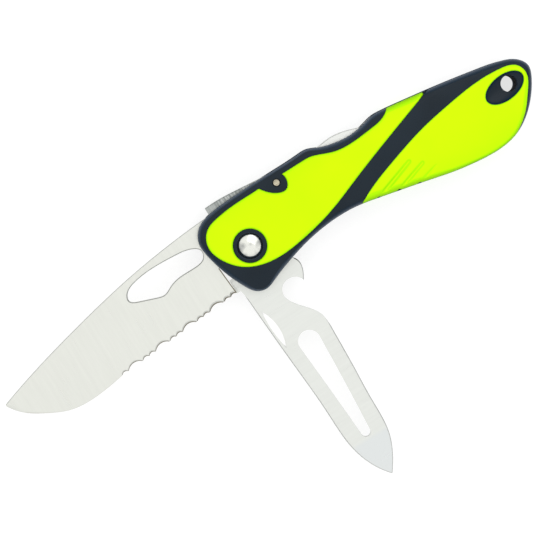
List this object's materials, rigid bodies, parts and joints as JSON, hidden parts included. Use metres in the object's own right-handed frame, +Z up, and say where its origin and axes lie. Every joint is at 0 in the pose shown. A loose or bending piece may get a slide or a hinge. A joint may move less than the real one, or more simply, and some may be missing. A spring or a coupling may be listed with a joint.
{
  "type": "rigging knife",
  "caption": "Folding rigging knife with a part-serrated locking blade, a locking shackle key with bottle opener, soft inlaid grips and a lanyard eye.",
  "frame": {"origin": "where the pivot axis meets the face that the closed or open knife lies on", "axes": "+X along the handle from the pivot to the lanyard eye, +Y towards the spine and lock bars, +Z up through the knife's thickness"},
  "size_m": [0.2009, 0.1059, 0.017],
  "materials": {
    "grip_rubber": "soft matte, fluorescent yellow-green",
    "shell_plastic": "fine-textured moulding, navy black",
    "liner_steel": "ground edges",
    "spacer_steel": "ground",
    "spring_steel": "rolled",
    "lock_steel": "ground across",
    "blade_steel": "fine satin",
    "polished_steel": "polished",
    "washer_bronze": "plain"
  },
  "bodies": {
    "handle": {"near_scale_shell": "shell_plastic", "far_scale_shell": "shell_plastic", "near_front_grip": "grip_rubber", "far_front_grip": "grip_rubber", "near_rear_grip": "grip_rubber", "far_rear_grip": "grip_rubber", "near_liner": "liner_steel", "far_liner": "liner_steel", "centre_plate": "liner_steel", "blade_slot_spacer": "spacer_steel", "key_slot_spacer": "spacer_steel", "blade_lock_spring": "spring_steel", "key_lock_spring": "spring_steel", "pivot_pin": "polished_steel", "pivot_screw": "polished_steel", "pivot_washers": "washer_bronze", "lock_pin": "polished_steel", "handle_rivets": "spacer_steel"},
    "blade": {"blade": "blade_steel"},
    "shackle_key": {"shackle_key": "blade_steel"},
    "blade_lock_bar": {"blade_lock_bar": "lock_steel"},
    "key_lock_bar": {"key_lock_bar": "lock_steel"}
  },
  "joints": [
    {"name": "blade_fold", "type": "hinge", "parent": "handle", "child": "blade", "pos_m": [0, 0, 0.0104], "axis": [0, 0, 1], "range_deg": [0, 174]},
    {"name": "key_fold", "type": "hinge", "parent": "handle", "child": "shackle_key", "pos_m": [0, 0, 0.0066], "axis": [0, 0, 1], "range_deg": [-90, 88]},
    {"name": "blade_lock_rock", "type": "hinge", "parent": "handle", "child": "blade_lock_bar", "pos_m": [0.0178, 0.0128, 0.0104], "axis": [0, 0, 1], "range_deg": [0, 2.7], "stiffness_Nm_per_rad": 3, "springref_deg": 5.73},
    {"name": "key_lock_rock", "type": "hinge", "parent": "handle", "child": "key_lock_bar", "pos_m": [0.0178, 0.0128, 0.0066], "axis": [0, 0, 1], "range_deg": [0, 2.7], "stiffness_Nm_per_rad": 3, "springref_deg": 5.73}
  ]
}
